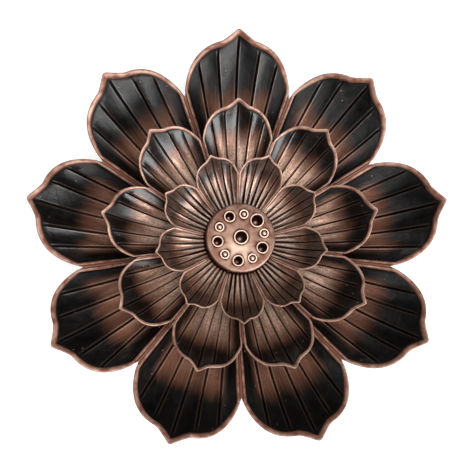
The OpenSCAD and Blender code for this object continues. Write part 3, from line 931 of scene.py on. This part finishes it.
def wiped_copper(add, finish):
    """Red copper plate on the cast pod, cleaned while its patina was wet: satin metal, with dark rings where
    the patina stayed, patina and painted shade down the holes, painted shade on the side, a painted glint on
    each hole's floor and a painted highlight beside the middle hole."""
    spot = add("TexCoord").outputs["Object"]
    hollow, crest, painted_highlight = (add("Attribute", attribute_name=key).outputs["Fac"]
                            for key in ("hollow", "crest", "painted_highlight"))
    # Cloudy wiping of 3 mm and grain of 0.4 mm
    wipe = add("TexNoise", {"Vector": spot, "Scale": per_mm(3), "Detail": 4.0})
    grain = add("TexNoise", {"Vector": spot, "Scale": per_mm(0.4), "Detail": 2.0})
    # The painted highlight beside the middle hole pales the cloudy wiping
    patch = add("Math", (painted_highlight, 0.45, wipe), operation="MULTIPLY_ADD")
    cloudy = add("MapRange", (patch, 0.45, 0.95))
    tone = add("Mix", (cloudy, finish.pod, finish.pod_clouds_and_highlight), data_type="RGBA")
    # Collars and seeds rubbed bare, with a painted glint on each hole's floor and a faint painted highlight
    # on the bevel
    raised = add("Mix", (crest, tone, finish.bright), data_type="RGBA")
    # Patina in the rings, and patina with painted shade down the holes and on the pod's side
    dark = add("Math", (hollow, 0.94), operation="MULTIPLY")
    shaded = add("Mix", (dark, raised, finish.pod_shade), data_type="RGBA")
    metal = add("MapRange", (hollow, 0.0, 1.0, 0.7, 1.0))
    satin = add("MapRange", (wipe, 0.3, 0.7, 0.3, 0.48))
    rough = add("Math", (hollow, 0.4, satin), operation="MULTIPLY_ADD", use_clamp=True)
    dents = add("Bump", {"Height": wipe, "Strength": 1.0, "Distance": 0.12 * MM})
    pits = add("Bump", {"Height": grain, "Strength": 1.0, "Distance": 0.025 * MM, "Normal": dents})
    return add("BsdfPrincipled", {
        "Base Color": shaded, "Metallic": metal, "Roughness": rough, "Normal": pits})


def wool_felt(add, finish):
    """Black wool felt: dull, with short fibres that lie every way and catch a little light at the edge."""
    spot = add("TexCoord").outputs["Object"]
    # Fibres 0.25 mm thick and clumps of 2 mm
    fibre = add("TexNoise", {"Vector": spot, "Scale": per_mm(0.25), "Detail": 4.0, "Distortion": 1.5})
    clump = add("TexNoise", {"Vector": spot, "Scale": per_mm(2)})
    lighter = (*(min(1.0, 2.2 * v) for v in finish.felt[:3]), 1.0)
    tone = add("Mix", (fibre, finish.felt, lighter), data_type="RGBA")
    lumps = add("Bump", {"Height": clump, "Strength": 0.4, "Distance": 0.1 * MM})
    fuzz = add("Bump", {"Height": fibre, "Strength": 0.8, "Distance": 0.12 * MM, "Normal": lumps})
    return add("BsdfPrincipled", {"Base Color": tone, "Roughness": 0.95, "Normal": fuzz, "Sheen Weight": 0.3})


def zinc_plate(add, finish):
    """Bright zinc plate on cold-headed steel: a cool grey metal with faint turning marks."""
    spot = add("TexCoord").outputs["Object"]
    # Turning marks 0.377 mm apart, as a wave repeats every tenth of pi, and cloudy plating of 1.5 mm
    marks = add("TexWave", {"Vector": spot, "Scale": np.pi / 10 * per_mm(0.377), "Distortion": 1.0},
                wave_type="RINGS", rings_direction="Z")
    cloud = add("TexNoise", {"Vector": spot, "Scale": per_mm(1.5)})
    darker = (*(0.7 * v for v in finish.steel[:3]), 1.0)
    tone = add("Mix", (cloud, darker, finish.steel), data_type="RGBA")
    rough = add("MapRange", (cloud, 0.0, 1.0, 0.24, 0.4))
    cut = add("Bump", {"Height": marks, "Strength": 0.2, "Distance": 0.01 * MM})
    return add("BsdfPrincipled", {"Base Color": tone, "Metallic": 1.0, "Roughness": rough, "Normal": cut})


def seen_ray(add):
    """Node that gives 1 for camera, glossy and transmission rays, and 0 for rays that light the object."""
    ray = add("LightPath").outputs
    seen = add("Math", (ray["Is Camera Ray"], ray["Is Glossy Ray"]), operation="MAXIMUM")
    return add("Math", (seen, ray["Is Transmission Ray"]), operation="MAXIMUM")


def white_floor(add, finish):
    """White paper. Camera, glossy and transmission rays see it lit from within: an even white, less where the
    object's shadow falls on its matt part."""
    level = add("Math", (seen_ray(add), FLOOR_GLOW), operation="MULTIPLY")
    glow = add("Emission", {"Color": srgb("#ffffff"), "Strength": level})
    matt = add("BsdfDiffuse", {"Color": srgb("#c8c8c8")})
    return add("AddShader", (glow, matt))


# Stage

def place_camera(context, stage):
    """Camera on a ray at the view's elevation, rolled about it. The shift moves the point that it looks at to
    its pixel in the image."""
    az, el, roll = stage.azimuth, stage.elevation, stage.roll
    right = Vector((np.cos(az), np.sin(az), 0))
    back = Vector((np.sin(az) * np.cos(el), -np.cos(az) * np.cos(el), np.sin(el)))
    up = back.cross(right)
    turned = right * np.cos(roll) - up * np.sin(roll)
    above = right * np.sin(roll) + up * np.cos(roll)
    camera = bpy.data.objects.new("camera", bpy.data.cameras.new("camera"))
    camera.data.lens = stage.lens
    camera.data.sensor_width = SENSOR_MM
    camera.data.shift_x = (IMAGE_PX / 2 - TARGET_PX[0]) / IMAGE_PX
    camera.data.shift_y = (TARGET_PX[1] - IMAGE_PX / 2) / IMAGE_PX
    camera.data.clip_start, camera.data.clip_end = 0.01, 100
    turn = Matrix((turned, above, back)).transposed().to_4x4()
    camera.matrix_world = Matrix.Translation(Vector((0, 0, stage.target_z)) + back * stage.distance) @ turn
    context.collection.objects.link(camera)
    context.scene.camera = camera


def place_floor(context):
    """A wide white floor at the height of the object's resting face."""
    corners = FLOOR_SIDE * np.array([(-1, -1, 0), (1, -1, 0), (1, 1, 0), (-1, 1, 0)])
    mesh = bpy.data.meshes.new("floor")
    mesh.from_pydata(corners.tolist(), [], [(0, 1, 2, 3)])
    mesh.materials.append(finish_material(context, white_floor))
    floor = bpy.data.objects.new("floor", mesh)
    context.collection.objects.link(floor)


def softbox(context, name, azimuth, elevation, distance, width, height, power):
    """A soft light that faces the object from a bearing and a height in degrees."""
    az, el = np.radians([azimuth, elevation])
    out = Vector((np.cos(az) * np.cos(el), np.sin(az) * np.cos(el), np.sin(el)))
    lamp = bpy.data.lights.new(name, "AREA")
    lamp.shape = "RECTANGLE"
    lamp.size, lamp.size_y = width, height
    lamp.energy = power
    light = bpy.data.objects.new(name, lamp)
    turn = out.to_track_quat("Z", "Y").to_matrix().to_4x4()
    light.matrix_world = Matrix.Translation(Vector((0, 0, LIT_Z)) + out * distance) @ turn
    context.collection.objects.link(light)


def place_light(context, stage):
    """A softbox from the image's lower right, one overhead, a wide dim panel behind it, an even fill, and a
    white backdrop that fades out a few degrees above the floor."""
    softbox(context, "key_softbox", *KEY_PLACE, stage.key_power)
    softbox(context, "top_softbox", *TOP_PLACE, stage.top_power)
    softbox(context, "sky_panel", *SKY_PLACE, stage.sky_power)
    world = bpy.data.worlds.new("studio")
    world.use_nodes = True
    world.node_tree.nodes.clear()
    add = partial(add_node, world.node_tree)
    way = add("TexCoord").outputs["Generated"]
    height = add("SeparateXYZ", (way,)).outputs["Z"]
    low, high = np.sin(np.radians([BACKDROP_FULL, BACKDROP_END]))
    drop = add("MapRange", (height, high, low), interpolation_type="SMOOTHSTEP")
    shown = add("Math", (seen_ray(add), drop), operation="MULTIPLY")
    level = add("Math", (shown, stage.fill), operation="ADD")
    background = add("Background", {"Color": srgb("#f4f6fa"), "Strength": level})
    add("OutputWorld", {"Surface": background})
    context.scene.world = world


# Operators

class LOTUS_OT_petal_tiers(bpy.types.Operator):
    """Builds the petals and rims of the three tiers"""

    bl_idname = "lotus.petal_tiers"
    bl_label = "Petal tiers"

    def execute(self, context):
        for label, body in (("outer", "base"), ("middle", "middle_tier"), ("inner", "inner_tier")):
            tier = plain_sizes(getattr(context.scene, f"lotus_{label}"))
            make_piece(f"{label}_petals", petal_sheet(tier), finish_material(context, oxidised_copper), body,
                       f"{label}_petal_tier", welded=False)
            make_piece(f"{label}_rims", petal_rims(tier), finish_material(context, relieved_copper), body,
                       sharp=70)
        return {"FINISHED"}


class LOTUS_OT_seed_pod(bpy.types.Operator):
    """Builds the drilled seed pod with its collars and seeds"""

    bl_idname = "lotus.seed_pod"
    bl_label = "Seed pod"

    def execute(self, context):
        surface = seed_pod_surface(plain_sizes(context.scene.lotus_pod), INNER_FLOOR_Z)
        make_piece("drilled_pod", surface, finish_material(context, wiped_copper), "spindle",
                   "seed_pod", sharp=50)
        return {"FINISHED"}


class LOTUS_OT_fastenings(bpy.types.Operator):
    """Gives the screw and washers their zinc plate"""

    bl_idname = "lotus.fastenings"
    bl_label = "Fastenings"

    def execute(self, context):
        for node in ("centre_screw", "spring_washer", "flat_washer"):
            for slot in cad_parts[node].material_slots:
                slot.material = finish_material(context, zinc_plate)
        return {"FINISHED"}


class LOTUS_OT_base_pad(bpy.types.Operator):
    """Builds the felt disc under the foot"""

    bl_idname = "lotus.base_pad"
    bl_label = "Felt disc"

    def execute(self, context):
        low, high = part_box("base_pad")
        surface = felt_surface(high.x / MM, (high.z - low.z) / MM)
        pad = make_piece("felt_disc", surface, finish_material(context, wool_felt), "base",
                         "base_pad")
        return {"FINISHED"}


class LOTUS_OT_stage(bpy.types.Operator):
    """Sets the floor, the light and the camera"""

    bl_idname = "lotus.stage"
    bl_label = "Stage"

    def execute(self, context):
        stage = context.scene.lotus_stage
        context.scene.view_settings.view_transform = "Standard"
        place_camera(context, stage)
        place_floor(context)
        place_light(context, stage)
        return {"FINISHED"}


class LOTUS_PT_sidebar(bpy.types.Panel):
    """Lists the pieces and their sizes"""

    bl_label = "Lotus holder"
    bl_idname = "LOTUS_PT_sidebar"
    bl_space_type = "VIEW_3D"
    bl_region_type = "UI"
    bl_category = "Lotus"

    def draw(self, context):
        for operator in OPERATORS:
            self.layout.operator(operator.bl_idname)
        for key in GROUPS:
            box = self.layout.box()
            box.label(text=key.replace("_", " "))
            group = getattr(context.scene, key)
            for name in group.__annotations__:
                box.prop(group, name)


GROUPS = {"lotus_outer": OuterTier, "lotus_middle": MiddleTier, "lotus_inner": InnerTier,
          "lotus_pod": SeedPod, "lotus_finish": Finish, "lotus_stage": Stage}
OPERATORS = (LOTUS_OT_stage, LOTUS_OT_petal_tiers, LOTUS_OT_seed_pod, LOTUS_OT_fastenings, LOTUS_OT_base_pad)


def register():
    for made in (*GROUPS.values(), *OPERATORS, LOTUS_PT_sidebar):
        bpy.utils.register_class(made)
    for key, group in GROUPS.items():
        setattr(bpy.types.Scene, key, PointerProperty(type=group))


def unregister():
    for key in GROUPS:
        delattr(bpy.types.Scene, key)
    for made in (LOTUS_PT_sidebar, *reversed(OPERATORS), *reversed(list(GROUPS.values()))):
        bpy.utils.unregister_class(made)


def main():
    """Registers the add-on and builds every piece."""
    register()
    bpy.ops.lotus.stage()
    bpy.ops.lotus.petal_tiers()
    bpy.ops.lotus.seed_pod()
    bpy.ops.lotus.fastenings()
    bpy.ops.lotus.base_pad()


if __name__ == "__main__":
    main()
